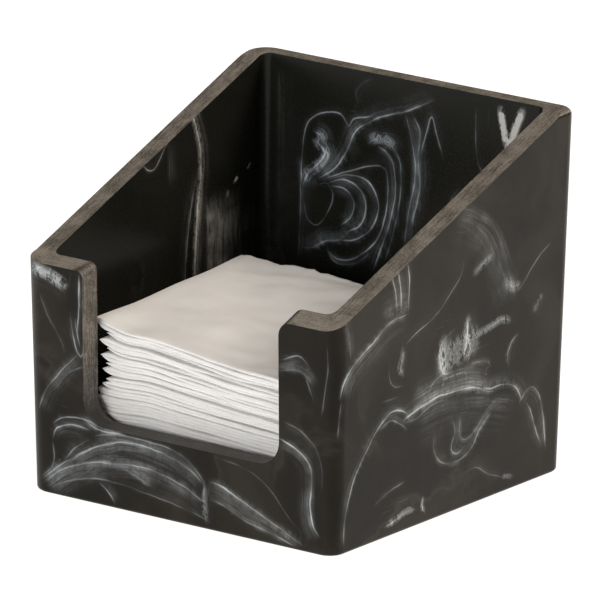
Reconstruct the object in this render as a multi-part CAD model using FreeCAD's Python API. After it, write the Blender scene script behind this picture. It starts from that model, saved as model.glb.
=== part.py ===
"""Napkin dispenser: a cast resin bin, open at the top, with a stack of quarter-folded paper napkins in it.

Millimetres, +Z up, +X to the right and the front facing -Y. The origin is the middle of the holder's footprint,
on the surface that it stands on. Each sub-part is written to parts/NAME.step.
"""

import FreeCAD
import Part
import math
import os

os.makedirs("parts", exist_ok=True)

# Holder. Its widths and depths are those at the foot, and every wall leans out from there.
BASE_WIDTH = 191.0
BASE_DEPTH = 194.5
BACK_HEIGHT = 189.5
FRONT_HEIGHT = 116.5  # of the right post, at its front
LEFT_POST_HEIGHT = 120.2  # the left post is sanded less, and its top is nearly level
LEFT_POST_INSIDE = 122.3  # height of the left post where its top meets the sloping rim
WALL = 12.0  # front and back
LEFT_WALL = 10.4
RIGHT_WALL = 11.4
FLOOR = 12.0
DRAFT_DEG = 1.2  # the lean that lets the casting leave its mould
LEFT_CORNER_R = 11.5
RIGHT_CORNER_R = 9.0
INNER_CORNER_R = 5.0
BASE_EDGE_R = 2.0
FLOOR_FILLET_R = 3.0
BACK_TOP_EDGE_R = 3.5

# U-shaped cut-out in the front wall
CUT_WIDTH = 122.0
CUT_X = 1.5  # its middle lies a little to the right
LIP_HEIGHT = 41.0
CUT_CORNER_R = 13.5
CUT_MOUTH_LEFT_R = 4.0
CUT_MOUTH_RIGHT_R = 7.0

# Napkins. The stack is thickest along the fold on its left and thinnest at its right front corner.
NAPKIN_COUNT = 20
NAPKIN_SIDE = 122.0
LEAF = 0.5  # half of a napkin: two plies of tissue lying together
GAP = 0.3  # between one napkin and the next, and under the lowest
STACK_X = 2.0
STACK_FRONT_Y = -84.3  # front of the top napkin
STACK_LEAN = 1.8  # the lowest napkin's front lies this much further back
TOP_FRONT_LEFT = 92.5
TOP_FRONT_RIGHT = 75.0
TOP_BACK_LEFT = 98.5
TOP_BACK_RIGHT = 94.0
SWAY_X = 1.8  # how far napkins lie out of line sideways
SWAY_Y = 0.8  # and front to back
SWAY_STEP = 2.4  # radians from one napkin's sway to the next

LEAN = math.tan(math.radians(DRAFT_DEG))
BEYOND = 30.0  # how far cutting tools run past the holder


def vec(x, y, z):
    return FreeCAD.Vector(x, y, z)


def line(a, b):
    return Part.LineSegment(a, b).toShape()


def arc(a, middle, b):
    return Part.Arc(a, middle, b).toShape()


def leaning_block(width, depth, z_low, z_high):
    """A block with flat sides that lean out by the draft. Its width and depth are those at the height 0."""
    x0 = width / 2 + LEAN * z_low
    y0 = depth / 2 + LEAN * z_low
    x1 = width / 2 + LEAN * z_high
    y1 = depth / 2 + LEAN * z_high
    block = Part.makeWedge(-x0, z_low, -y0, -y1, -x1, x0, z_high, y0, y1, x1)
    block.rotate(vec(0, 0, 0), vec(1, 0, 0), 90)
    return block


def upright_edges(block):
    return [e for e in block.Edges if abs(e.Vertexes[0].Z - e.Vertexes[1].Z) > BEYOND]


def level_edges(shape, z):
    """The edges that lie at the height z."""
    return [e for e in shape.Edges if abs(e.BoundBox.ZMin - z) < 0.05 and e.BoundBox.ZLength < 0.05]


def outer_block():
    block = leaning_block(BASE_WIDTH, BASE_DEPTH, 0, BACK_HEIGHT)
    for side, radius in ((-1, LEFT_CORNER_R), (1, RIGHT_CORNER_R)):
        corners = [e for e in upright_edges(block) if e.BoundBox.Center.x * side > BASE_WIDTH / 2 - 1]
        block = block.makeFillet(radius, corners)
    block = block.makeFillet(BASE_EDGE_R, level_edges(block, 0))
    return block.makeFillet(BACK_TOP_EDGE_R, level_edges(block, BACK_HEIGHT))


def inside_block():
    width = BASE_WIDTH - LEFT_WALL - RIGHT_WALL
    block = leaning_block(width, BASE_DEPTH - 2 * WALL, FLOOR, BACK_HEIGHT + BEYOND)
    block.translate(vec((LEFT_WALL - RIGHT_WALL) / 2, 0, 0))
    block = block.makeFillet(INNER_CORNER_R, upright_edges(block))
    return block.makeFillet(FLOOR_FILLET_R, level_edges(block, FLOOR))


def above_rim():
    """Everything above the rim. The rim slopes in one plane up to the back wall's inside, then runs level.
    Its left half flattens over the front wall."""
    front_y = -BASE_DEPTH / 2 - LEAN * FRONT_HEIGHT
    front_inside_y = front_y + WALL
    back_y = BASE_DEPTH / 2 + LEAN * BACK_HEIGHT - WALL
    slope = (BACK_HEIGHT - FRONT_HEIGHT) / (back_y - front_y)
    left_slope = (LEFT_POST_INSIDE - LEFT_POST_HEIGHT) / WALL
    right = [(front_y - BEYOND, FRONT_HEIGHT - BEYOND * slope)]
    left = [(front_y - BEYOND, LEFT_POST_HEIGHT - BEYOND * left_slope), (front_inside_y, LEFT_POST_INSIDE)]
    rest = [(back_y, BACK_HEIGHT), (back_y, BACK_HEIGHT + BEYOND), (front_y - BEYOND, BACK_HEIGHT + BEYOND)]
    halves = []
    for x, outline in ((0.0, right + rest), (-BASE_WIDTH, left + rest)):
        points = [vec(x, y, z) for y, z in outline]
        halves.append(Part.Face(Part.makePolygon(points + points[:1])).extrude(vec(BASE_WIDTH, 0, 0)))
    return halves


def front_cut():
    """The cut-out's tool: a level lip with round corners, running up past the rim."""
    half = CUT_WIDTH / 2
    r = CUT_CORNER_R
    y = -BASE_DEPTH / 2 - BEYOND
    corner = r * (1 - math.sqrt(0.5))

    def at(x, z):
        return vec(CUT_X + x, y, z)

    edges = [
        line(at(-half, BACK_HEIGHT), at(-half, LIP_HEIGHT + r)),
        arc(at(-half, LIP_HEIGHT + r), at(-half + corner, LIP_HEIGHT + corner), at(-half + r, LIP_HEIGHT)),
        line(at(-half + r, LIP_HEIGHT), at(half - r, LIP_HEIGHT)),
        arc(at(half - r, LIP_HEIGHT), at(half - corner, LIP_HEIGHT + corner), at(half, LIP_HEIGHT + r)),
        line(at(half, LIP_HEIGHT + r), at(half, BACK_HEIGHT)),
        line(at(half, BACK_HEIGHT), at(-half, BACK_HEIGHT)),
    ]
    return Part.Face(Part.Wire(edges)).extrude(vec(0, BEYOND + BASE_DEPTH / 2, 0))


def make_holder():
    holder = outer_block().cut(inside_block()).cut(front_cut())
    for half in above_rim():
        holder = holder.cut(half)
    for side, radius in ((-1, CUT_MOUTH_LEFT_R), (1, CUT_MOUTH_RIGHT_R)):
        holder = holder.makeFillet(radius, [mouth_edge(holder, CUT_X + side * CUT_WIDTH / 2)])
    return holder


def mouth_edge(holder, x):
    """The edge across the front wall's top where the cut-out's side at x ends."""
    for edge in holder.Edges:
        box = edge.BoundBox
        across_wall = abs(box.Center.x - x) < 0.05 and box.XLength < 0.05 and box.YLength > WALL / 2
        if across_wall and box.ZMin > FRONT_HEIGHT - 1:
            return edge
    raise ValueError("no such edge")


def stack_top(x, y):
    """Height of the stack's top over a place in the row, by its four corner heights."""
    u = (x - STACK_X) / NAPKIN_SIDE + 0.5
    v = (y - STACK_FRONT_Y) / NAPKIN_SIDE
    front = TOP_FRONT_LEFT + (TOP_FRONT_RIGHT - TOP_FRONT_LEFT) * u
    back = TOP_BACK_LEFT + (TOP_BACK_RIGHT - TOP_BACK_LEFT) * u
    return front + (back - front) * v


def layer_height(x, y, layer):
    """Height of the underside of a napkin, counted from 0 for the lowest. Layers share the stack evenly."""
    return FLOOR + GAP + (stack_top(x, y) + GAP - FLOOR - GAP) * layer / NAPKIN_COUNT


def napkin_profile(x_left, y, layer):
    """Section of a napkin across its fold: two leaves joined by a round fold on the left."""
    x_right = x_left + NAPKIN_SIDE

    def low(x):
        return layer_height(x, y, layer)

    def high(x):
        return layer_height(x, y, layer + 1) - GAP

    fold = (high(x_left) - low(x_left)) / 2
    bend = x_left + fold
    middle = (high(x_left) + low(x_left)) / 2
    edges = [
        line(vec(x_right, y, low(x_right)), vec(bend, y, low(bend))),
        arc(vec(bend, y, low(bend)), vec(x_left, y, middle), vec(bend, y, high(bend))),
        line(vec(bend, y, high(bend)), vec(x_right, y, high(x_right))),
        line(vec(x_right, y, high(x_right)), vec(x_right, y, high(x_right) - LEAF)),
        line(vec(x_right, y, high(x_right) - LEAF), vec(bend, y, high(bend) - LEAF)),
        arc(vec(bend, y, high(bend) - LEAF), vec(x_left + LEAF, y, middle), vec(bend, y, low(bend) + LEAF)),
        line(vec(bend, y, low(bend) + LEAF), vec(x_right, y, low(x_right) + LEAF)),
        line(vec(x_right, y, low(x_right) + LEAF), vec(x_right, y, low(x_right))),
    ]
    return Part.Wire(edges)


def make_napkin(layer):
    """One folded napkin, a ruled solid from its front section to its back section."""
    depth_in_stack = 1 - layer / (NAPKIN_COUNT - 1)
    x_left = STACK_X - NAPKIN_SIDE / 2 + SWAY_X * math.sin(SWAY_STEP * layer)
    y_front = STACK_FRONT_Y + STACK_LEAN * depth_in_stack + SWAY_Y * math.cos(SWAY_STEP * layer)
    sections = [napkin_profile(x_left, y, layer) for y in (y_front, y_front + NAPKIN_SIDE)]
    return Part.makeLoft(sections, True, True)


def save(name, shape):
    if not shape.isValid() or len(shape.Solids) != 1:
        raise ValueError(name + " is not one valid solid")
    shape.exportStep("parts/" + name + ".step")
    box = shape.BoundBox
    corners = [round(v, 1) for v in (box.XMin, box.XMax, box.YMin, box.YMax, box.ZMin, box.ZMax)]
    print(name, corners, "volume", round(shape.Volume / 1000, 1), "cm3")


save("holder", make_holder())
for number in range(NAPKIN_COUNT):
    save("napkin_%02d" % (number + 1), make_napkin(number))
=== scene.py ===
import math

import bmesh
import bpy
import numpy as np
from mathutils import Matrix, Vector, noise


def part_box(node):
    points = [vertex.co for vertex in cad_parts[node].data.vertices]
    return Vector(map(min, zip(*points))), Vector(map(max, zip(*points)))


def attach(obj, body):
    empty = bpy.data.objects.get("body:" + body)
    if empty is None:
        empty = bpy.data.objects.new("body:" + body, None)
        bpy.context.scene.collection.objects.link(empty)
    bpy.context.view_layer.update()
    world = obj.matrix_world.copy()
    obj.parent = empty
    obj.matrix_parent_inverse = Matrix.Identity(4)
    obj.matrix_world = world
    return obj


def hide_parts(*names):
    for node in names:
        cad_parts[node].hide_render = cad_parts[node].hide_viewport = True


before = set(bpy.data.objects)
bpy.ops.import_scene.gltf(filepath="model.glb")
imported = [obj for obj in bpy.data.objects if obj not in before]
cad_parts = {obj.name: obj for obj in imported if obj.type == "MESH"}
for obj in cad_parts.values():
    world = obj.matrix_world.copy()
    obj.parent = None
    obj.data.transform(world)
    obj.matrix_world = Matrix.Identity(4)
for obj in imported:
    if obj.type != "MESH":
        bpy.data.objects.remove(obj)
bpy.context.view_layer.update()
MM = 0.001

# ---------------------------------------------------------------- camera

CAMERA_AZIMUTH = math.radians(36.75)
CAMERA_ELEVATION = math.radians(16.11)
CAMERA_ROLL = math.radians(0.43)
CAMERA_DISTANCE = 5.819
CAMERA_LENS = 696.3
CAMERA_TARGET = Vector((0, 0, 0.0937))
CAMERA_SHIFT_X = 0.0037
SENSOR_WIDTH = 36


def make_camera():
    a, e, r = CAMERA_AZIMUTH, CAMERA_ELEVATION, CAMERA_ROLL
    back = Vector((math.sin(a) * math.cos(e), -math.cos(a) * math.cos(e), math.sin(e)))
    right = Vector((math.cos(a), math.sin(a), 0))
    up = back.cross(right)
    across = right * math.cos(r) + up * math.sin(r)
    upward = up * math.cos(r) - right * math.sin(r)
    data = bpy.data.cameras.new("camera")
    data.lens = CAMERA_LENS
    data.sensor_width = SENSOR_WIDTH
    data.shift_x = CAMERA_SHIFT_X
    data.clip_start, data.clip_end = 0.1, 60
    camera = bpy.data.objects.new("camera", data)
    bpy.context.scene.collection.objects.link(camera)
    turn = Matrix((across, upward, back)).transposed().to_4x4()
    camera.matrix_world = Matrix.Translation(CAMERA_TARGET + back * CAMERA_DISTANCE) @ turn
    bpy.context.scene.camera = camera


make_camera()

# ---------------------------------------------------------------- node helpers


class Tree:
    """A few short calls for building a node tree. A value is a number, a colour or a node's output."""

    def __init__(self, tree):
        self.tree = tree

    def node(self, kind, inputs=(), **settings):
        made = self.tree.nodes.new(kind)
        for name, value in settings.items():
            setattr(made, name, value)
        for key, value in dict(inputs).items():
            self.put(made.inputs[key], value)
        return made

    def put(self, socket, value):
        if isinstance(value, bpy.types.NodeSocket):
            self.tree.links.new(value, socket)
        elif value is not None:
            socket.default_value = value

    def math(self, operation, a, b=None, c=None, clamp=False):
        made = self.node("ShaderNodeMath", operation=operation, use_clamp=clamp)
        for socket, value in zip(made.inputs, (a, b, c)):
            self.put(socket, value)
        return made.outputs[0]

    def vector(self, operation, a, b=None, scale=None):
        made = self.node("ShaderNodeVectorMath", operation=operation)
        self.put(made.inputs[0], a)
        self.put(made.inputs[1], b)
        self.put(made.inputs[3], scale)
        return made.outputs[0]

    def noise(self, vector, scale, detail=2.0, rough=0.5, distort=0.0):
        made = self.node("ShaderNodeTexNoise", noise_dimensions="3D")
        for key, value in (
            ("Vector", vector),
            ("Scale", scale),
            ("Detail", detail),
            ("Roughness", rough),
            ("Distortion", distort),
        ):
            self.put(made.inputs[key], value)
        return made.outputs["Fac"]

    def ramp(self, value, low, high, to_low=0.0, to_high=1.0):
        made = self.node("ShaderNodeMapRange", interpolation_type="SMOOTHSTEP")
        for key, item in zip(
            ("Value", "From Min", "From Max", "To Min", "To Max"),
            (value, low, high, to_low, to_high),
        ):
            self.put(made.inputs[key], item)
        return made.outputs[0]

    def mix(self, factor, a, b):
        made = self.node("ShaderNodeMix", data_type="RGBA")
        self.put(made.inputs["Factor"], factor)
        self.put(made.inputs[6], a)
        self.put(made.inputs[7], b)
        return made.outputs[2]

    def join(self, x, y, z):
        return self.node("ShaderNodeCombineXYZ", {"X": x, "Y": y, "Z": z}).outputs[0]

    def split(self, vector):
        return self.node("ShaderNodeSeparateXYZ", {"Vector": vector}).outputs

    def attribute(self, name):
        return self.node("ShaderNodeAttribute", attribute_name=name)

    def bump(self, height, strength, distance):
        made = self.node("ShaderNodeBump")
        for key, value in (("Strength", strength), ("Distance", distance), ("Height", height)):
            self.put(made.inputs[key], value)
        return made.outputs[0]

    def ridge(self, value, width):
        """1 where a noise value passes its middle, falling to 0 at the width from there: thin threads."""
        off = self.math("ABSOLUTE", self.math("SUBTRACT", value, 0.5))
        return self.math("SUBTRACT", 1.0, self.math("DIVIDE", off, width), clamp=True)


def new_material(name):
    """A material with one Principled shader: the material, its tree's helper and the shader."""
    material = bpy.data.materials.new(name)
    material.use_nodes = True
    tree = material.node_tree
    tree.nodes.clear()
    t = Tree(tree)
    shader = t.node("ShaderNodeBsdfPrincipled")
    out = t.node("ShaderNodeOutputMaterial")
    tree.links.new(shader.outputs[0], out.inputs[0])
    return material, t, shader


# ---------------------------------------------------------------- holder shape

# The box-shaped holder, in millimetres, as part.py has it. Half widths and depths are those at the foot.
HALF_WIDTH, HALF_DEPTH = 95.5, 97.25
WALL, FLOOR = 12.0, 12.0
INSIDE_HALF_WIDTH, INSIDE_X = 84.6, -0.5
OUTER_R, INNER_R = 10.0, 5.0
LEAN = math.tan(math.radians(1.2))
CUT_HALF, CUT_X, CUT_CORNER_R, LIP = 61.0, 1.5, 13.5, 41.0
POSTS_FROM = 60.0  # from this height up, what faces up is rim, and the cut-out's sanded sides stop growing lighter upwards
RIM_BEVEL = 0.7  # the small rounding of every sharp edge
SHARP_EDGE = math.radians(35)
GRID = 2.6  # the walls are cut into cells of this size, to carry the veins' attributes
GRID_START = 0.37  # keeps the cuts off the flat faces' own edges


def is_sawn(face):
    """True for the cut and sanded rims, false for the moulded walls."""
    x, y, z = face.calc_center_median() / MM
    n = face.normal
    if z > POSTS_FROM and n.z > 0.5:
        return True
    in_front_wall = y < -HALF_DEPTH + WALL + 0.6 and y > -HALF_DEPTH - LEAN * z + 0.2
    return in_front_wall and z > 30 and abs(x - CUT_X) < CUT_HALF + 8 and abs(n.y) < 0.3


def slice_faces(bm, faces, axis, places):
    """Cuts the faces by planes square to an axis, halving the set each time."""
    if not places or not faces:
        return
    middle = len(places) // 2
    normal = Vector((0, 0, 0))
    normal[axis] = 1
    geometry = dict.fromkeys(faces)  # ordered, unlike a set, so that each run numbers the points alike
    for face in faces:
        geometry.update(dict.fromkeys([*face.verts, *face.edges]))
    cut = bmesh.ops.bisect_plane(
        bm, geom=list(geometry), dist=1e-6, plane_co=normal * places[middle], plane_no=normal
    )
    below, above = [], []
    for face in cut["geom"]:
        if isinstance(face, bmesh.types.BMFace):
            side = above if face.calc_center_median()[axis] > places[middle] else below
            side.append(face)
    slice_faces(bm, below, axis, places[:middle])
    slice_faces(bm, above, axis, places[middle + 1 :])


def holder_mesh():
    """The CAD holder with rounded edges, on an even grid."""
    bm = bmesh.new()
    bm.from_mesh(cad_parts["holder"].data)
    bmesh.ops.remove_doubles(bm, verts=bm.verts, dist=1e-6)
    bmesh.ops.dissolve_limit(bm, angle_limit=math.radians(0.2), verts=bm.verts, edges=bm.edges)
    for face in bm.faces:
        face.material_index = 1 if is_sawn(face) else 0
    rims = [e for e in bm.edges if e.calc_face_angle(0) > SHARP_EDGE]
    bmesh.ops.bevel(
        bm,
        geom=rims,
        offset=RIM_BEVEL * MM,
        offset_type="OFFSET",
        segments=3,
        profile=0.5,
        affect="EDGES",
        clamp_overlap=True,
        material=1,
    )
    low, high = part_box("holder")
    for axis in range(3):
        count = int((high[axis] - low[axis]) / (GRID * MM))
        places = [low[axis] + (k * GRID - GRID_START) * MM for k in range(1, count + 1)]
        slice_faces(bm, list(bm.faces), axis, places)
    bmesh.ops.triangulate(bm, faces=[f for f in bm.faces if len(f.verts) > 4])
    mesh = bpy.data.meshes.new("holder_shell")
    bm.to_mesh(mesh)
    bm.free()
    mesh.shade_smooth()
    return mesh


def charts(co):
    """Wall coordinates of points in millimetres: where each lies along the outer and the inner
    wall, unrolled, and how deep it is below the outer and the inner skin."""
    x, y, z = co.T
    grow = LEAN * z
    ox, oy = x * HALF_WIDTH / (HALF_WIDTH + grow), y * HALF_DEPTH / (HALF_DEPTH + grow)
    side = np.where(x < 0, -1.0, 1.0)
    outer = side * (np.where(y < 0, abs(ox), 2 * HALF_WIDTH - abs(ox)) + oy + HALF_DEPTH)
    in_w, in_d = INSIDE_HALF_WIDTH, HALF_DEPTH - WALL
    ix, iy = (x - INSIDE_X) * in_w / (in_w + grow), y * in_d / (in_d + grow)
    inner = side * (np.where(y > 0, abs(ix), 2 * in_w - abs(ix)) + in_d - iy)

    def depth_in(px, py, w, d, radius):
        qx, qy = abs(px) - (w - radius), abs(py) - (d - radius)
        corner = radius - np.hypot(np.maximum(qx, 0), np.maximum(qy, 0))
        return np.where((qx > 0) & (qy > 0), corner, np.minimum(w - abs(px), d - abs(py)))

    to_outer = np.minimum(depth_in(ox, oy, HALF_WIDTH, HALF_DEPTH, OUTER_R), z)
    to_inner = np.maximum(-depth_in(ix, iy, in_w, in_d, INNER_R), FLOOR - z)
    return outer, inner, np.maximum(to_outer, 0), np.maximum(to_inner, 0)


# ---------------------------------------------------------------- veins in the resin

# Each vein is a curve on an unrolled wall: wall, line strength, veil strength, cloud strength,
# width of the veil, and points (place along the wall, height) in millimetres. The veil lies on the
# curve's left as it runs, and a negative width puts it on the right.
FRONT_AND_RIGHT = [
    # front wall, left post
    (0.3, 1.0, 1.0, -4.2, [(-95, 117.5), (-88, 117), (-81.5, 116), (-75, 114), (-70, 111.8), (-65, 109.5)]),
    (0.8, 0.8, 0.3, 2, [(-96, 111), (-92, 114), (-86, 117), (-80, 119)]),
    (1.0, 0.5, 0.2, 2, [(-60, 121), (-60, 110), (-60.5, 98), (-62, 86)]),
    (0.9, 0.4, 0.0, 3, [(-66, 98), (-65, 88), (-62, 78), (-59, 76), (-58, 85)]),
    (0.8, 0.4, 0.0, -3, [(-63, 97), (-62, 88), (-60, 80)]),
    (0.25, 0.1, 0.0, 4, [(-86, 108), (-80, 94), (-72, 82), (-70, 74)]),
    (0.6, 0.5, 0.0, 5, [(-60, 78), (-72, 67), (-81, 56), (-89, 42)]),
    (0.35, 0.2, 0.0, -4, [(-56, 72), (-68, 66), (-78, 54)]),
    # front wall, below the cut-out
    (0.9, 0.5, 0.0, 3, [(-50, 41), (-60, 43), (-72, 42), (-80, 37)]),
    (0.8, 0.5, 0.0, 4, [(-54, 38), (-66, 39), (-76, 36), (-79, 29)]),
    (0.45, 0.0, 0.0, 2, [(-79, 31), (-78, 20), (-81, 13), (-89, 7)]),
    (0.7, 1.0, 0.3, 4, [(-62, 46), (-50, 40), (-32, 40)]),
    (0.6, 0.8, 0.1, -9, [(-88, 6), (-72, 18), (-56, 28), (-38, 35), (-20, 36), (-4, 33), (8, 29), (17, 22)]),
    (0.5, 0.55, 0.0, -5, [(-54, 36), (-40, 39), (-22, 39), (-2, 37), (10, 31), (17, 23)]),
    (0.6, 0.4, 0.0, 3, [(-72, 19), (-64, 28), (-53, 35)]),
    (0.5, 0.3, 0.0, 3, [(-70, 18), (-62, 24), (-50, 31), (-40, 36)]),
    (0.55, 0.6, 0.2, -6, [(-86, 5), (-72, 15), (-56, 21), (-38, 24), (-18, 25), (2, 20), (17, 14)]),
    (0.3, 0.9, 0.15, 4, [(-52, 23), (-34, 22), (-14, 15)]),
    (0.4, 0.2, 0.0, 3, [(-82, 3), (-64, 11), (-46, 14), (-20, 12), (10, 7), (20, 4)]),
    (0.9, 0.5, 0.0, 3, [(-50, 12), (-44, 8), (-39, 1)]),
    (0.5, 0.3, 0.0, 3, [(-46, 10), (-40, 4)]),
    (0.8, 0.5, 0.5, 2.5, [(16, 27), (16, 14), (17, 2)]),
    (1.0, 0.8, 0.25, -5, [(17, 26), (26, 25), (38, 20), (57, 12), (78, 3)]),
    (0.7, 0.8, 0.0, 4, [(17, 17), (28, 15), (44, 9), (62, 5), (76, 1)]),
    (0.25, 0.0, 0.0, 3, [(19, 40), (34, 38), (48, 34), (58, 27), (66, 18), (74, 10)]),
    (1.0, 0.9, 0.2, -4, [(60, 57), (72, 53), (80, 47), (82, 38), (81, 24), (83, 14), (88, 8)]),
    (0.35, 0.2, 0.0, -4, [(63, 66), (76, 62), (85, 54), (88, 44), (88, 33)]),
    (1.0, 0.2, 0.0, -3, [(61, 96), (72, 101), (76, 100), (82, 94)]),
    (0.3, 1.3, 0.1, 4, [(58, 90), (70, 93), (78, 91), (84, 86)]),
    (0.4, 0.2, 0.0, 3, [(77, 92), (81, 84), (83, 78)]),
    (0.4, 0.1, 0.0, 3, [(90, 112), (91, 98), (90, 88), (87, 71)]),
    # right wall, towards the front
    (0.8, 0.5, 0.0, 3, [(139, 138), (143, 127), (145, 114)]),
    (0.8, 0.6, 0.0, 3, [(144, 140), (147, 128), (148, 115)]),
    (0.9, 0.4, 0.0, -3, [(150, 144), (154, 134), (154, 112)]),
    (0.1, 0.7, 0.3, 6, [(130, 116), (144, 118), (158, 116)]),
    (0.8, 0.9, 0.2, 6, [(155, 113), (140, 112), (126, 105), (112, 98), (103, 90), (99, 80)]),
    (0.5, 0.2, 0.0, 3, [(101, 82), (99, 70), (98, 60)]),
    (0.2, 0.8, 0.3, 3, [(101, 125), (105, 112), (108, 98)]),
    (0.6, 0.2, 0.0, -3, [(199, 132), (197, 124), (189, 116), (176, 107), (160, 101), (150, 97)]),
    (0.35, 0.4, 0.45, 3, [(203, 119), (213, 124), (226, 129)]),
    (0.4, 0.4, 0.5, 3, [(149, 99), (150, 92), (148, 86), (153, 80)]),
    (0.08, 0.6, 0.0, -11, [(190, 160), (208, 153), (224, 141), (234, 124), (242, 106), (244, 98)]),
    (0.0, 0.4, 0.0, -6, [(206, 148), (220, 136), (232, 118), (240, 104)]),
    (0.4, 0.5, 0.5, 4, [(233, 114), (240, 107), (249, 108)]),
    (0.6, 0.1, 0.0, 3, [(272, 124), (260, 117), (250, 108), (243, 102)]),
    (0.4, 0.4, 0.4, 3, [(268, 99), (262, 94), (257, 88)]),
    (0.8, 0.3, 0.2, 3, [(196, 97), (184, 92), (181, 84), (184, 75), (193, 74)]),
    (0.0, 0.0, 0.66, 10, [(173, 81), (188, 83), (203, 86), (218, 88)]),
    (0.2, 0.5, 0.5, 5, [(184, 99), (183, 84), (186, 70)]),
    (0.3, 0.4, 0.5, 4, [(204, 105), (203, 92), (205, 74)]),
    (0.5, 0.0, 0.6, 3, [(206, 89), (220, 90), (232, 92), (243, 88)]),
    (0.9, 0.4, 0.3, 3, [(202, 101), (203, 90), (200, 78)]),
    (0.5, 0.2, 0.3, 3, [(200, 74), (214, 74), (222, 72), (224, 66)]),
    (0.5, 0.4, 0.3, 3, [(248, 82), (241, 78), (238, 71), (241, 63)]),
    (0.3, 0.1, 0.1, 3, [(139, 90), (140, 82), (144, 78), (152, 77)]),
    (0.25, 0.0, 0.1, 3, [(133, 72), (148, 72)]),
    (0.45, 0.1, 0.0, 3, [(170, 64), (176, 72), (188, 76)]),
    # right wall, the long arch
    (0.8, 0.6, 0.0, 3, [
        (104, 4), (105, 20), (111, 36), (121, 49), (131, 59), (141, 65), (150, 64), (158, 59),
    ]),
    (0.7, 0.6, 0.0, 4, [(131, 57), (141, 61), (150, 57), (156, 52)]),
    (1.0, 0.8, 0.3, 4, [
        (150, 58), (158, 60), (166, 62), (180, 64), (200, 63), (212, 61), (222, 57), (230, 55),
    ]),
    (0.6, 0.5, 0.0, 3, [(152, 57), (162, 57), (176, 61), (192, 60)]),
    (0.0, 1.1, 0.0, 7, [(156, 61), (170, 62), (190, 64), (208, 62), (222, 57)]),
    (0.0, 0.6, 0.0, 6, [(160, 66), (180, 69), (200, 68), (218, 62)]),
    (0.9, 0.7, 0.3, 4, [(216, 60), (224, 58), (234, 58), (242, 56), (248, 51), (252, 44)]),
    (0.8, 0.7, 0.0, -4, [(248, 43), (252, 47), (256, 50), (261, 50), (267, 43), (271, 30), (274, 13)]),
    (0.6, 0.5, 0.0, -3, [(254, 44), (258, 40), (263, 30), (270, 16)]),
    (0.1, 0.55, 0.1, -11, [(158, 56), (180, 58), (205, 57), (230, 51), (248, 46)]),
    (0.5, 0.6, 0.2, 3, [(177, 48), (178, 36), (185, 28), (197, 26), (209, 30), (216, 38), (228, 47)]),
    (0.5, 0.5, 0.2, 3, [(193, 50), (195, 42), (192, 34), (197, 30), (205, 33)]),
    (0.4, 0.6, 0.2, -3, [(200, 52), (199, 42), (203, 36), (213, 39), (222, 47), (234, 52)]),
    (0.5, 0.3, 0.0, 3, [(200, 18), (214, 19), (224, 13), (238, 8)]),
    (0.2, 0.3, 0.5, 2, [(234, 9), (240, 8), (248, 6)]),
    (0.4, 0.2, 0.2, 3, [(128, 19), (142, 24), (156, 26)]),
    (0.7, 0.3, 0.7, 2.5, [(136, 6), (148, 8), (156, 10), (166, 9)]),
    (0.7, 0.3, 0.5, 2, [(170, 16), (169, 9), (173, 5)]),
]
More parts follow.
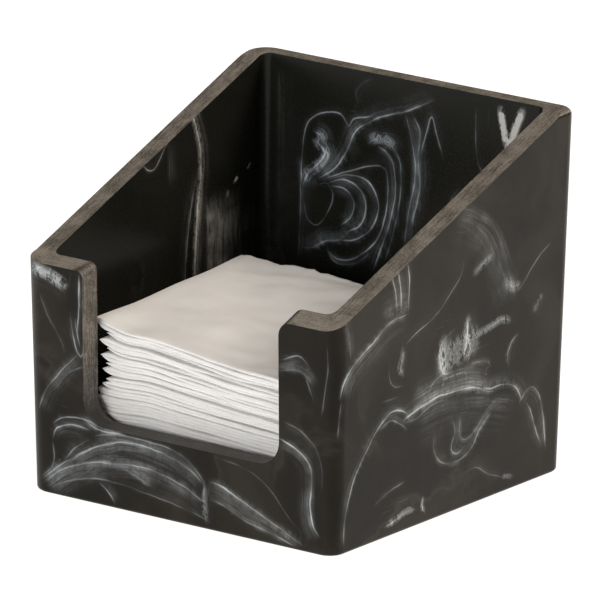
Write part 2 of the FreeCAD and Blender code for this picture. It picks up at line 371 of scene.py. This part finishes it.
BACK_AND_LEFT_INSIDE = [
    # back wall
    (0.7, 0.1, 0.0, 3, [
        (-61, 122), (-61, 140), (-58, 156), (-50, 163), (-38, 165), (-33, 159), (-29, 164), (-14, 168),
    ]),
    (0.8, 0.7, 0.0, 4, [(-52, 128), (-40, 137), (-33, 148), (-28, 158), (-16, 166), (4, 174), (20, 183)]),
    (1.0, 1.4, 0.5, 4, [(-55, 153), (-49, 151), (-52, 148), (-47, 143), (-51, 136), (-58, 130), (-61, 122)]),
    (0.8, 0.5, 0.0, 2, [(-50, 146), (-45, 142), (-48, 136), (-56, 131)]),
    (0.8, 0.2, 0.0, 3, [
        (-50, 128), (-32, 136), (-14, 142), (-9, 138), (-9, 120), (-14, 104), (-26, 92), (-38, 88), (-45, 92),
    ]),
    (0.8, 0.6, 0.0, -3, [(-48, 128), (-32, 134), (-20, 132), (-14, 122), (-17, 110), (-27, 101), (-38, 98)]),
    (0.8, 0.7, 0.0, -3, [(-46, 127), (-34, 131), (-25, 127), (-22, 118), (-26, 108), (-36, 102)]),
    (0.7, 0.6, 0.0, -3, [(-44, 126), (-34, 126), (-29, 120), (-31, 112), (-38, 105)]),
    (0.45, 0.0, 0.0, 3, [(-53, 124), (-46, 127), (-42, 121), (-45, 112), (-52, 104), (-58, 107), (-60, 116)]),
    (0.5, 0.9, 0.15, 4, [(-62, 91), (-54, 92), (-46, 97), (-38, 99), (-30, 106)]),
    (0.5, 0.5, 0.0, 3, [(-46, 94), (-40, 87), (-28, 88), (-18, 96)]),
    (0.8, 0.9, 0.6, 4, [(-22, 151), (-16, 156), (-8, 155), (-4, 149)]),
    (0.7, 0.6, 0.0, -3, [(-17, 152), (-10, 150), (-5, 143), (-4, 130), (-7, 112), (-14, 94), (-18, 84)]),
    (0.5, 0.4, 0.0, -3, [(-6, 153), (-1, 145), (-1, 128), (-4, 110), (-10, 92)]),
    (0.6, 0.7, 0.1, 5, [(1, 173), (5, 158), (8, 142), (5, 122), (2, 102)]),
    (0.6, 0.6, 0.0, -3, [(5, 172), (10, 164), (9, 150), (11, 134), (6, 112)]),
    (0.6, 0.2, 0.0, 3, [(11, 150), (14, 164), (17, 173), (20, 164), (25, 150)]),
    (0.35, 0.2, 0.1, 3, [(-18, 187), (-26, 182), (-29, 176), (-24, 171)]),
    (0.3, 0.0, 1.35, 2.6, [(57, 188), (59, 177), (63, 162)]),
    (0.5, 0.3, 1.35, 2.8, [(72, 189), (67, 176), (61, 156)]),
    (0.05, 0.15, 0.0, 6, [(-76, 184), (-75, 140), (-76, 90)]),
    (0.3, 0.3, 0.0, 4, [(-63, 140), (-62, 112), (-63, 84)]),
    (0.3, 0.1, 0.0, 3, [(43, 186), (44, 160), (50, 147), (60, 143)]),
    (0.3, 0.1, 0.0, 3, [(36, 140), (30, 132), (31, 118)]),
    # left wall
    (0.9, 1.4, 0.45, 3.5, [
        (-144, 174), (-139, 160), (-136, 146), (-137, 132), (-139, 118), (-141, 100), (-142, 78),
    ]),
    (0.4, 0.5, 0.0, -3, [(-139, 140), (-144, 122), (-148, 102), (-150, 78)]),
    (0.8, 0.3, 0.0, 3, [(-184, 153), (-179, 148), (-174, 147), (-169, 151), (-164, 157), (-158, 162)]),
    (0.2, 0.4, 0.0, 4, [(-163, 160), (-161, 150), (-161, 134)]),
    (0.0, 2.3, 0.12, 15, [(-130, 126), (-129, 100), (-130, 60)]),
    (0.0, 1.6, 0.12, 17, [(-119, 119), (-120, 98), (-121, 64)]),
    (0.0, 0.0, 1.0, 1.2, [(-96, 134), (-99, 130)]),
    (0.0, 0.0, 1.2, 1.4, [(-105, 130), (-110, 125)]),
    (0.0, 0.0, 1.0, 1.4, [(-114, 123), (-115, 119)]),
]
# The veins that are used again, mirrored and stretched, on the walls that don't show.
RIGHT_WALL_VEINS = FRONT_AND_RIGHT[31:]
BACK_WALL_SWIRL = BACK_AND_LEFT_INSIDE[:18]
LAYERS = 10  # sets of vein attributes: veins that cross go into different ones
VEIN_REACH = 2.2  # how far a veil runs out from its curve, in widths
SKIN = 3.0  # depth in millimetres over which veins fade inside a cut wall
TAPER, TAPER_SHARE = 8.0, 0.3  # length of a vein's faded ends in millimetres, and its greatest share
LITTLE = 0.4  # veins that overlap by less than this sum of strengths may share a layer
NEXT_RUN = 37.0  # added to the run from one vein to the next, so that their noise differs


def smooth(t):
    t = np.clip(t, 0, 1)
    return t * t * (3 - 2 * t)


def spline(points, step=1.0):
    """A Catmull-Rom curve through the points, sampled about every step millimetres."""
    p = np.array(points, float)
    p = np.vstack([2 * p[0] - p[1], p, 2 * p[-1] - p[-2]])
    out = []
    for k in range(1, len(p) - 2):
        a, b, c, d = p[k - 1 : k + 3]
        n = max(2, int(np.linalg.norm(c - b) / step))
        t = np.arange(n)[:, None] / n
        out.append(
            0.5 * (2 * b + (c - a) * t + (2 * a - 5 * b + 4 * c - d) * t**2 + (3 * b - a - 3 * c + d) * t**3)
        )
    out.append(p[-2][None])
    return np.vstack(out)


def along(line, at):
    """For each point: distance run along the line, and distance from it, positive on its left."""
    seg = np.diff(line, axis=0)
    length = np.linalg.norm(seg, axis=1)
    run = np.concatenate([[0], np.cumsum(length)])
    best = np.full(len(at), 1e9)
    s, u = np.zeros(len(at)), np.zeros(len(at))
    for k in range(len(seg)):
        d = at - line[k]
        t = np.clip(d @ seg[k] / length[k] ** 2, 0, 1)
        off = d - t[:, None] * seg[k]
        far = np.hypot(*off.T)
        closer = far < best
        best[closer] = far[closer]
        s[closer] = (run[k] + t * length[k])[closer]
        u[closer] = (np.sign(seg[k][0] * d[:, 1] - seg[k][1] * d[:, 0]) * far)[closer]
    return s, u, run[-1]


def veins_for_walls():
    """All veins, with plausible ones for the walls that are turned away."""
    outer = list(FRONT_AND_RIGHT)
    turned = []
    for line, veil, cloud, width, points in RIGHT_WALL_VEINS:
        turned.append((line, veil, cloud, width, [(p - 388, 128 - z * 0.86) for p, z in points]))
    for line, veil, cloud, width, points in RIGHT_WALL_VEINS:
        if points[0][1] < 80:
            turned.append((line * 0.8, veil, cloud, -width, [(-p * 0.98 - 2, z + 6) for p, z in points]))
    inner = list(BACK_AND_LEFT_INSIDE)
    for line, veil, cloud, width, points in BACK_WALL_SWIRL:
        inner.append((line, veil, cloud, -width, [(170 - p * 1.1, z - 62) for p, z in points]))
    rear = []
    # The swirl's last vein would run over the corner.
    for line, veil, cloud, width, points in BACK_WALL_SWIRL[:-1]:
        rear.append((line, veil, cloud, width, [(-p * 1.25 - 22, z * 1.2 - 62) for p, z in points]))
    return {"outer": outer, "left": turned, "inner": inner, "rear": rear}


def add_veins(mesh, co):
    """Gives each point, per layer, its place beside a vein (run, side, side in widths) and the vein's
    power there (line, veil, cloud). Each vein goes into the layer where it meets the least others."""
    outer, inner, to_outer, to_inner = charts(co)
    z = co[:, 2]
    walls = veins_for_walls()
    is_outer = to_outer <= to_inner
    fade = np.exp(-((np.minimum(to_outer, to_inner) / SKIN) ** 2))
    rear = is_outer & (co[:, 1] > HALF_DEPTH - 7)
    above_base = smooth((z - 0.4) / 2.5)
    charted = {
        "outer": (is_outer & (outer > -HALF_WIDTH - 6), outer),
        "left": (is_outer & ~rear & (outer < -HALF_WIDTH + 3), outer),
        "inner": (~is_outer & (z > FLOOR - 0.5), inner),
        "rear": (rear, -co[:, 0]),
    }
    place = [np.zeros((len(co), 3), np.float32) for _ in range(LAYERS)]
    power = [np.zeros((len(co), 3), np.float32) for _ in range(LAYERS)]
    taken = [np.zeros(len(co)) for _ in range(LAYERS)]
    number = 0
    for wall, veins in walls.items():
        here, across = charted[wall]
        spots = np.column_stack([across, z])
        for line, veil, cloud, width, points in veins:
            number += 1
            curve = spline(points)
            reach = abs(width) * VEIN_REACH + 5
            low, high = curve.min(0) - reach, curve.max(0) + reach
            pick = np.flatnonzero(here & np.all((spots > low) & (spots < high), axis=1))
            if not len(pick):
                continue
            s, u, length = along(curve, spots[pick])
            q = u / width
            end = min(max(TAPER, abs(width)), TAPER_SHARE * length)
            taper = smooth(s / end) * smooth((length - s) / end)
            near = smooth(2.6 - np.abs(u) / (0.6 * abs(width) + 1.6))
            veiled = smooth((q + 0.35) / 0.35) * smooth((VEIN_REACH - q) / 0.9)
            veiled = veiled * np.exp(-0.9 * np.maximum(q, 0))
            cloudy = smooth(1.25 - np.abs(q)) if cloud else 0 * q
            end_power = taper * fade[pick] * above_base[pick]
            strengths = np.column_stack(
                [line * near * end_power, veil * veiled * end_power, cloud * cloudy * end_power]
            )
            total = strengths.sum(1) + 1e-4 / (1 + np.abs(u))
            # The material shapes a cloud across its curve, so its power is stored flat and only ends outside it.
            strengths[:, 2] = cloud * end_power * smooth((1.9 - np.abs(q)) / 0.4)
            overlaps = [(np.minimum(taken[k][pick], total).sum(), k) for k in range(LAYERS)]
            layer = next((k for overlap, k in overlaps if overlap < LITTLE), min(overlaps)[1])
            wins = total > taken[layer][pick]
            put = pick[wins]
            taken[layer][put] = total[wins]
            place[layer][put] = np.column_stack([s + NEXT_RUN * number, u, q])[wins]
            power[layer][put] = strengths[wins]
    for k in range(LAYERS):
        for name, values in (("vein_place_", place[k]), ("vein_power_", power[k])):
            made = mesh.attributes.new(f"{name}{k}", "FLOAT_VECTOR", "POINT")
            made.data.foreach_set("vector", values.ravel())


def add_grain(mesh, co):
    """Where each point lies along the rim and across it, for the sanding marks; how light the rim is
    there, darker towards the bottom of the cut-out and lighter on the front wall's other rims; and whether it is
    on the inside."""
    outer, _, to_outer, to_inner = charts(co)
    x, y, z = co.T
    in_cut = (y < -HALF_DEPTH + WALL + 1) & (np.abs(x - CUT_X) < CUT_HALF + 5.5) & (z > 35)
    flat = CUT_HALF - CUT_CORNER_R
    up_side = np.sign(x - CUT_X) * (flat + np.maximum(z - LIP, 0) + 8)
    way = np.where(np.abs(x - CUT_X) < flat, x - CUT_X, up_side)
    grain = np.column_stack(
        [np.where(in_cut, way + 900, outer), np.where(in_cut, y, to_outer), np.zeros(len(co))]
    )
    made = mesh.attributes.new("grain", "FLOAT_VECTOR", "POINT")
    made.data.foreach_set("vector", grain.astype(np.float32).ravel())
    # The rim's lightness: darker towards the bottom of the cut-out, even higher up, lighter on the front wall's
    # other rims.
    cut_lightness = np.where(z > POSTS_FROM, 0.6, 0.05 + 0.5 * smooth((z - LIP - 3) / 14))
    rim_lightness = np.where(in_cut, cut_lightness, 1.0)
    rim_lightness = np.where(~in_cut & (y < -HALF_DEPTH + WALL), 1.35, rim_lightness)
    made = mesh.attributes.new("rim_lightness", "FLOAT", "POINT")
    made.data.foreach_set("value", rim_lightness.astype(np.float32))
    inside = smooth((to_outer - to_inner) / 6 + 0.5)
    made = mesh.attributes.new("inside", "FLOAT", "POINT")
    made.data.foreach_set("value", inside.astype(np.float32))


# ---------------------------------------------------------------- resin materials

# Colours are linear. Noise over the position is scaled per metre, and noise over a vein's run and side
# per millimetre.
THREAD = 0.035  # width, in noise value, of the thinnest strands
CHALK = (0.5, 0.48, 0.45, 1)  # the white pigment where it is thin or sanded


def vein_group():
    """One layer of veins: fine lines, veils of thin strands and clouds, from place and power."""
    tree = bpy.data.node_groups.new("vein_layer", "ShaderNodeTree")
    for name, kind in (
        ("Place", "NodeSocketVector"),
        ("Power", "NodeSocketVector"),
        ("Ripple", "NodeSocketFloat"),
        ("Texture", "NodeSocketFloat"),
    ):
        tree.interface.new_socket(name=name, in_out="INPUT", socket_type=kind)
    tree.interface.new_socket(name="Value", in_out="OUTPUT", socket_type="NodeSocketFloat")
    t = Tree(tree)
    given = t.node("NodeGroupInput").outputs
    s, u, q = t.split(given["Place"])
    line, veil, cloud = t.split(given["Power"])
    u = t.math("ADD", u, t.math("MULTIPLY", given["Ripple"], 2.4))
    swing = t.noise(t.join(t.math("MULTIPLY", s, 0.07), t.math("MULTIPLY", u, 0.03), 4.2), 1.0, 1.0)
    away = t.math("ABSOLUTE", u)
    thin = t.math("ADD", 0.2, t.math("MULTIPLY", swing, 0.65))
    core = t.math("SUBTRACT", 1.0, t.math("DIVIDE", away, thin), clamp=True)
    glow = t.math("POWER", 2.718, t.math("MULTIPLY", away, -0.9))
    lines = t.math("ADD", t.math("MULTIPLY", core, 0.75), t.math("MULTIPLY", glow, 0.13))
    lines = t.math("MULTIPLY", lines, t.ramp(swing, 0.32, 0.68, 0.3, 1.15))
    lines = t.math("MULTIPLY", lines, line)
    stretched = t.join(t.math("MULTIPLY", s, 0.022), t.math("MULTIPLY", u, 0.42), 7.7)
    wide = t.noise(stretched, 1.0, 3.0, 0.55, 0.25)
    strand = t.ridge(wide, THREAD)
    fine = t.noise(t.join(t.math("MULTIPLY", s, 0.05), t.math("MULTIPLY", u, 1.3), 1.3), 1.0, 2.0)
    fine = t.ramp(fine, 0.45, 0.75)
    haze = t.ramp(wide, 0.3, 0.75, 0.08, 0.38)
    veils = t.math("ADD", t.math("MULTIPLY", strand, 0.26), t.math("MULTIPLY", fine, 0.2))
    veils = t.math("ADD", veils, haze)
    veils = t.math("MULTIPLY", veils, t.ramp(given["Texture"], 0.3, 0.65, 0.7, 1.1))
    veils = t.math("MULTIPLY", t.math("MULTIPLY", veils, veil), t.ramp(swing, 0.25, 0.75, 0.45, 1.1))
    lace = t.ridge(given["Texture"], 0.06)
    lace = t.math("ADD", t.math("MULTIPLY", lace, 0.55), t.ramp(given["Texture"], 0.38, 0.7, 0.05, 0.5))
    cloud = t.math("MULTIPLY", cloud, t.ramp(t.math("ABSOLUTE", q), 1.3, 0.3))
    solid = t.ramp(cloud, 0.85, 1.2)
    clouds = t.math("MULTIPLY", lace, t.ramp(cloud, 0.1, 0.8))
    clouds = t.math("ADD", t.math("MULTIPLY", clouds, 0.85), t.math("MULTIPLY", solid, 0.75))
    total = t.math("ADD", t.math("ADD", lines, veils), clouds)
    out = t.node("NodeGroupOutput")
    t.put(out.inputs["Value"], total)
    return tree


def vein_total(t, position, group):
    """The sum of the layers."""
    ripple = t.math("SUBTRACT", t.noise(position, 55.0, 3.0, 0.55), 0.5)
    texture = t.noise(t.vector("MULTIPLY", position, (1.0, 1.0, 0.6)), 300.0, 4.0, 0.68)
    total = None
    for k in range(LAYERS):
        layer = t.node("ShaderNodeGroup", node_tree=group)
        t.put(layer.inputs["Place"], t.attribute(f"vein_place_{k}").outputs["Vector"])
        t.put(layer.inputs["Power"], t.attribute(f"vein_power_{k}").outputs["Vector"])
        t.put(layer.inputs["Ripple"], ripple)
        t.put(layer.inputs["Texture"], texture)
        value = layer.outputs["Value"]
        total = value if total is None else t.math("ADD", total, value)
    return total


def smoke_and_murk(t, position):
    """Faint threads all through the resin, and slow changes of its brown."""
    bend = t.node("ShaderNodeTexNoise", {"Vector": position, "Scale": 11.0, "Detail": 2.0})
    bent = t.vector("ADD", position, t.vector("SCALE", bend.outputs["Color"], scale=0.11))
    folds = t.noise(bent, 16.0, 4.0, 0.55)
    where = t.ramp(t.noise(position, 14.0, 1.0), 0.5, 0.72)
    murk = t.ramp(folds, 0.35, 0.7)
    return t.math("MULTIPLY", t.ridge(folds, THREAD), where), murk


def resin_material(group):
    """The moulded walls: brown-black, satin outside, darker and glossier inside."""
    material, t, shader = new_material("marbled_resin")
    position = t.node("ShaderNodeTexCoord").outputs["Object"]
    total = vein_total(t, position, group)
    smoke, murk = smoke_and_murk(t, position)
    inside = t.attribute("inside").outputs["Fac"]
    deep = t.mix(inside, (0.0068, 0.0050, 0.0027, 1), (0.0100, 0.0104, 0.0082, 1))
    brown = t.mix(inside, (0.0235, 0.0186, 0.0122, 1), (0.0140, 0.0138, 0.0108, 1))
    base = t.mix(murk, deep, brown)
    base = t.mix(t.math("MULTIPLY", smoke, 0.035), base, CHALK)
    # Inside, veins are bluish over the back wall's middle and warmer towards its ends and on the side walls.
    off_middle = t.math("ABSOLUTE", t.math("ADD", t.split(position)[0], 0.012))
    outwards = t.ramp(off_middle, 0.058, 0.066)
    inner_white = t.mix(outwards, (0.60, 0.66, 0.71, 1), (0.66, 0.64, 0.61, 1))
    white = t.mix(inside, (0.53, 0.56, 0.57, 1), inner_white)
    shown = t.math("POWER", t.math("MULTIPLY", total, 0.88, clamp=True), 1.25)
    colour = t.mix(shown, base, white)
    t.put(shader.inputs["Base Color"], colour)
    scuff = t.noise(position, 900.0, 3.0, 0.6)
    rough = t.math("ADD", t.ramp(scuff, 0.35, 0.7, 0.33, 0.42), t.math("MULTIPLY", shown, 0.06))
    rough = t.math("SUBTRACT", rough, t.math("MULTIPLY", inside, 0.12))
    t.put(shader.inputs["Roughness"], rough)
    shader.inputs["IOR"].default_value = 1.5
    shader.inputs["Specular IOR Level"].default_value = 0.15
    orange = t.noise(position, 160.0, 2.0)
    t.put(shader.inputs["Normal"], t.bump(orange, 0.06, 0.0006))
    return material


def sawn_material(group):
    """The sanded rims and the cut-out's sides: dull and greyer, with fine scratches along them."""
    material, t, shader = new_material("sanded_rim")
    position = t.node("ShaderNodeTexCoord").outputs["Object"]
    total = vein_total(t, position, group)
    a, b, _ = t.split(t.attribute("grain").outputs["Vector"])
    along_rim = t.join(t.math("MULTIPLY", a, 0.065), t.math("MULTIPLY", b, 1.3), 0.0)
    scratch = t.noise(along_rim, 1.0, 4.0, 0.7)
    hair = t.noise(t.join(t.math("MULTIPLY", a, 0.3), t.math("MULTIPLY", b, 4.2), 2.0), 1.0, 2.0)
    patch = t.noise(position, 75.0, 4.0, 0.65)
    speck = t.noise(position, 1100.0, 2.0, 0.6)
    value = t.math("ADD", t.math("MULTIPLY", scratch, 0.46), t.math("MULTIPLY", hair, 0.26))
    value = t.math("ADD", value, t.math("MULTIPLY", speck, 0.28))
    value = t.math("ADD", value, t.math("MULTIPLY", t.math("SUBTRACT", patch, 0.5), 0.3))
    # The rim is made darker towards the bottom of the cut-out and lighter on the front wall's other rims.
    rim_lightness = t.attribute("rim_lightness").outputs["Fac"]
    value = t.math("ADD", value, t.math("MULTIPLY", t.math("SUBTRACT", rim_lightness, 1.0), 0.16))
    colour = t.mix(t.ramp(value, 0.36, 0.64), (0.054, 0.046, 0.037, 1), (0.33, 0.294, 0.25, 1))
    veins = t.math("POWER", t.math("MULTIPLY", total, 0.7, clamp=True), 1.4)
    colour = t.mix(t.math("MULTIPLY", veins, 0.8), colour, CHALK)
    t.put(shader.inputs["Base Color"], colour)
    t.put(shader.inputs["Roughness"], t.ramp(hair, 0.3, 0.7, 0.5, 0.68))
    t.put(shader.inputs["Normal"], t.bump(value, 0.35, 0.0004))
    return material


def make_holder():
    mesh = holder_mesh()
    co = np.zeros(len(mesh.vertices) * 3)
    mesh.vertices.foreach_get("co", co)
    co = co.reshape(-1, 3) / MM
    add_veins(mesh, co)
    add_grain(mesh, co)
    group = vein_group()
    mesh.materials.append(resin_material(group))
    mesh.materials.append(sawn_material(group))
    shell = bpy.data.objects.new("holder_shell", mesh)
    bpy.context.scene.collection.objects.link(shell)
    flatter = shell.modifiers.new("flat_walls", "WEIGHTED_NORMAL")
    flatter.weight = 50
    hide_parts("holder")
    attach(shell, "holder")


# ---------------------------------------------------------------- napkins

# Lengths are in millimetres.
NAPKINS = sorted(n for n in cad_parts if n.startswith("napkin_"))
CLOTH = 122.0  # side of a folded napkin
CLOTH_THICK = 0.34
SLACK, PRESSED_SLACK = 0.09, 0.04  # air between one napkin and the next
LEFT_X, FRONT_Y = -59.0, -84.0  # the stack's front left corner
# From this one up the folds spring open; below it the stack's weight holds them shut.
LOOSE_FROM = 12
# Where the fold on the left lies. Every other loose napkin is drawn in and hides between its neighbours.
LEFT_LOOSE, LEFT_SMALL, LEFT_PRESSED, LEFT_TOP = -59.3, -56.2, -63.0, -63.6
# Extra room, in millimetres, over a few napkins whose front edges have parted.
PARTED = {11: 0.9, 14: 0.4, 17: 0.3, 19: 0.2}
NAPKIN_SEED = 400


def corner_heights(node):
    """Front y of a CAD napkin, and the lowest and highest z near each of its corners in plan:
    front left, front right, back left, back right."""
    co = np.array([v.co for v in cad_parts[node].data.vertices]) / MM
    low, high = co.min(0), co.max(0)
    found = []
    for y in (low[1], high[1]):
        for x in (low[0], high[0]):
            near = (abs(co[:, 0] - x) < 14) & (abs(co[:, 1] - y) < 14)
            found.append((co[near, 2].min(), co[near, 2].max()))
    return low[1], np.array(found)


def steps(length):
    """Distances from a fold, close together at the fold and at the open edge."""
    near = [0, 0.25, 0.6, 1.0, 1.5, 2.1, 2.8, 3.7, 4.8, 6.2, 8.0, 10.3, 13.0]
    middle = list(np.arange(17.0, length - 10, 4.2))
    return np.array(near + middle + [length - 8, length - 5, length - 2.5, length - 1, length])


def field(x, y, seed, scale_x, scale_y):
    """Smooth noise over a grid of places."""
    return np.array(
        [noise.noise(Vector((a / scale_x, b / scale_y, seed))) for a, b in zip(x.ravel(), y.ravel())]
    ).reshape(x.shape)


def bilinear(corners, a, b):
    """Front left, front right, back left, back right heights at a across and b back, 0 to 1."""
    fl, fr, bl, br = corners
    return (1 - b) * ((1 - a) * fl + a * fr) + b * ((1 - a) * bl + a * br)


def make_stack():
    """Each napkin's front y, and the corner heights of the surfaces under, between and over them."""
    fronts, corners = zip(*(corner_heights(n) for n in NAPKINS))
    levels = [corners[0][:, 0]]
    for below, above in zip(corners, corners[1:]):
        levels.append((below[:, 1] + above[:, 0]) / 2)
    levels.append(corners[-1][:, 1])
    return fronts, levels


def level_at(levels, k, x, y):
    """Height of the surface between napkins k and k + 1, counted from 1 at the bottom."""
    a, b = (x - LEFT_X) / CLOTH, (y - FRONT_Y) / CLOTH
    behind_front = np.maximum(y - FRONT_Y, 0)
    top = len(levels) - 1
    height = bilinear(levels[k], a, b)
    share = k / top
    frontward = np.exp(-behind_front / 55)
    # At the front the middle bellies up, a hollow runs beside the fold and the right corner lifts.
    belly = 3.0 * smooth((x + 58) / 32) * math.sin(math.pi * min(share / 1.02, 1.0))
    hollow = -2.0 * share**3 * np.exp(-(((x + 44) / 11) ** 2))
    right = 2.2 * share**2 * smooth((x - 20) / 35)
    height = height + (belly + hollow + right) * frontward
    wave = field(x, y, 0.22 * k, 42.0, 50.0) * 1.7 * share
    wave = wave + field(x, y, 20 + 0.35 * k, 19.0, 34.0) * 0.5 * share
    wave = wave * (1 - 0.75 * np.exp(-behind_front / 25))
    flare = 0.0  # the folds fan out in pairs on the left
    if LOOSE_FROM <= k < top:
        sign = 1.0 if k % 2 == 0 else -1.0
        flare = sign * 1.1 * np.exp(-np.maximum(x + 60, 0) / 9)
    return height + wave + flare


def napkin_mesh(name, k, front_y, levels, rng):
    """One thin sheet of four quarters, folded at S = 0 (on the left) and at T = 0 (at the front). It fills
    the room between the surfaces k - 1 and k."""
    d = steps(CLOTH)
    line = np.concatenate([-d[:0:-1], d])
    S, T = np.meshgrid(line, line, indexing="ij")
    ds, dt = np.abs(S), np.abs(T)
    top = k == len(levels) - 1
    loose = k >= LOOSE_FROM
    small = loose and k % 2 == 1
    left = LEFT_TOP if top else LEFT_SMALL if small else LEFT_LOOSE if loose else LEFT_PRESSED
    left += rng.uniform(-0.5, 0.5) * (1.0 if loose else 0.3)
    front = front_y + (rng.uniform(-0.4, 0.6) if loose else rng.uniform(1.0, 1.4))
    roundness = rng.uniform(0.04, 0.2) if loose else rng.uniform(0.03, 0.12)
    turn = rng.uniform(-0.004, 0.004)
    fold = 7.0 if loose else 1.0
    # The leaves part from the fold on the left in a rounded wedge, and the front folds are flat half rounds.
    peak = np.clip(ds / fold, 0, 1)
    open_up = 1 - (1 - peak) ** 1.7
    upper = np.where(S > 0, 1.0, -1.0)
    near_top = np.where(T > 0, 1.0, -1.0)
    quarter_size = rng.uniform(0.992, 1.0, 4)
    reach = quarter_size[(S > 0).astype(int) * 2 + (T > 0).astype(int)]
    x = left + ds * reach
    ply_level = np.where(S > 0, 0.0, 40.0) + k * 7.0
    sway = field(x, ply_level, 0.5, 34.0, 1.0) * 1.5 + field(x, ply_level, 9.5, 12.0, 1.0) * 0.4
    y_flat = front + dt * reach
    lower_z = level_at(levels, k - 1, x, y_flat)
    upper_z = level_at(levels, k, x, y_flat)
    parting = np.exp(-dt / 14) * smooth((x + 66) / 12)
    lower_z = lower_z + 0.5 * PARTED.get(k - 1, 0.0) * parting
    upper_z = upper_z - 0.5 * PARTED.get(k, 0.0) * parting
    half = (upper_z - lower_z - (SLACK if loose else PRESSED_SLACK)) / 2 - CLOTH_THICK / 2
    radius = np.maximum(half * roundness * open_up, 0.12)
    quarter = radius * math.pi / 2
    around = np.clip(dt / radius, 0, math.pi / 2)
    y = np.where(dt < quarter, radius * (1 - np.cos(around)), radius + dt - quarter)
    rise = np.where(dt < quarter, np.sin(around), 1.0)
    y = front + sway * np.exp(-dt / 25) + y * reach + turn * (x - left)
    x = x - turn * (y - front)
    # The open edges at the back and on the right flutter.
    edge = np.exp(-(CLOTH - dt) / 5) + np.exp(-(CLOTH - ds) / 6)
    flutter = field(x, y, 60 + 3.1 * k, 5.0, 5.0) * edge
    y = y + flutter * 0.7
    tip = 0.75 if top else 0.0
    middle = (lower_z + upper_z) / 2 + half * tip * (1 - open_up)
    apart = 0.56 if loose else 0.52
    z = middle + upper * half * open_up * (apart + (1 - apart) * near_top * rise)
    if top:
        # Soft creases in the leaf that lies open on top, none near its folds.
        crease = 1.1 - np.abs(field(x + 0.6 * y, y - 0.25 * x, 5.5, 46.0, 17.0)) * 3.0
        crease = (crease + field(x, y, 31.0, 16.0, 12.0) * 0.6) * smooth(dt / 12) * smooth(ds / 16)
        z = z + np.where((S > 0) & (T > 0), flutter * 0.9 + crease, 0)
    n = len(line)
    co = np.stack([x, y, z], -1).reshape(-1, 3) * MM
    faces = [
        (i * n + j, (i + 1) * n + j, (i + 1) * n + j + 1, i * n + j + 1)
        for i in range(n - 1)
        for j in range(n - 1)
    ]
    mesh = bpy.data.meshes.new(name)
    mesh.from_pydata([tuple(c) for c in co], [], faces)
    mesh.shade_smooth()
    cloth = np.stack([S, T, np.full_like(S, k * 300.0)], -1).reshape(-1, 3).astype(np.float32)
    made = mesh.attributes.new("cloth", "FLOAT_VECTOR", "POINT")
    made.data.foreach_set("vector", cloth.ravel())
    return mesh


def tissue_material():
    """Matt white paper with fibres, a fine crepe and a trace of unevenness."""
    material, t, shader = new_material("napkin_tissue")
    cloth = t.attribute("cloth").outputs["Vector"]
    fibre = t.noise(t.vector("MULTIPLY", cloth, (1.0, 0.35, 1.0)), 3.2, 4.0, 0.7)
    crepe = t.noise(t.vector("MULTIPLY", cloth, (0.25, 2.4, 1.0)), 1.0, 2.0, 0.6)
    cloudy = t.noise(cloth, 0.06, 2.0)
    colour = t.mix(t.ramp(cloudy, 0.3, 0.7), (0.86, 0.845, 0.825, 1), (0.90, 0.89, 0.875, 1))
    t.put(shader.inputs["Base Color"], colour)
    shader.inputs["Roughness"].default_value = 0.92
    shader.inputs["Specular IOR Level"].default_value = 0.25
    height = t.math("ADD", t.math("MULTIPLY", fibre, 0.5), t.math("MULTIPLY", crepe, 0.8))
    t.put(shader.inputs["Normal"], t.bump(height, 0.35, 0.0003))
    return material


def make_napkins():
    fronts, levels = make_stack()
    tissue = tissue_material()
    for k, node in enumerate(NAPKINS, start=1):
        rng = np.random.RandomState(NAPKIN_SEED + k)
        mesh = napkin_mesh(node + "_sheet", k, fronts[k - 1], levels, rng)
        mesh.materials.append(tissue)
        piece = bpy.data.objects.new(node + "_sheet", mesh)
        bpy.context.scene.collection.objects.link(piece)
        thick = piece.modifiers.new("thickness", "SOLIDIFY")
        thick.thickness = CLOTH_THICK * MM
        thick.offset = 0
        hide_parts(node)
        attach(piece, node)


# ---------------------------------------------------------------- studio

FLOOR_HALF = 12.0
FLOOR_DROP = 0.0005  # keeps the floor clear of the holder's foot
LIGHT_AIM = Vector((0, 0, 0.08))
LIGHTS = (  # name, place, side, watts, colour
    ("front", (0.0, -6.5, 1.38), 3.0, 206, (0.985, 0.98, 0.98)),
    ("rear_right", (4.0, 3.0, 4.88), 3.0, 400, (1, 0.91, 0.81)),
)


def make_studio():
    """A pale floor that glows up to the picture's white, and two soft lights."""
    scene = bpy.context.scene
    scene.view_settings.view_transform = "Standard"
    mesh = bpy.data.meshes.new("floor")
    h = FLOOR_HALF
    mesh.from_pydata([(-h, -h, 0), (h, -h, 0), (h, h, 0), (-h, h, 0)], [], [(0, 1, 2, 3)])
    floor = bpy.data.objects.new("floor", mesh)
    floor.location.z = -FLOOR_DROP
    scene.collection.objects.link(floor)
    material, _, shader = new_material("pale_floor")
    shader.inputs["Base Color"].default_value = (0.3, 0.3, 0.3, 1)
    shader.inputs["Roughness"].default_value = 0.9
    shader.inputs["Emission Color"].default_value = (1, 0.985, 0.96, 1)
    shader.inputs["Emission Strength"].default_value = 1.0
    mesh.materials.append(material)
    world = bpy.data.worlds.new("world")
    scene.world = world
    world.use_nodes = True
    background = world.node_tree.nodes["Background"]
    background.inputs["Color"].default_value = (1.0, 0.95, 0.88, 1)
    background.inputs["Strength"].default_value = 0.04
    for name, place, size, watts, colour in LIGHTS:
        data = bpy.data.lights.new(name, "AREA")
        data.shape = "SQUARE"
        data.size = size
        data.energy = watts
        data.color = colour
        lamp = bpy.data.objects.new(name, data)
        lamp.location = place
        aim = LIGHT_AIM - Vector(place)
        lamp.rotation_mode = "QUATERNION"
        lamp.rotation_quaternion = aim.to_track_quat("-Z", "Y")
        scene.collection.objects.link(lamp)


make_holder()
make_napkins()
make_studio()
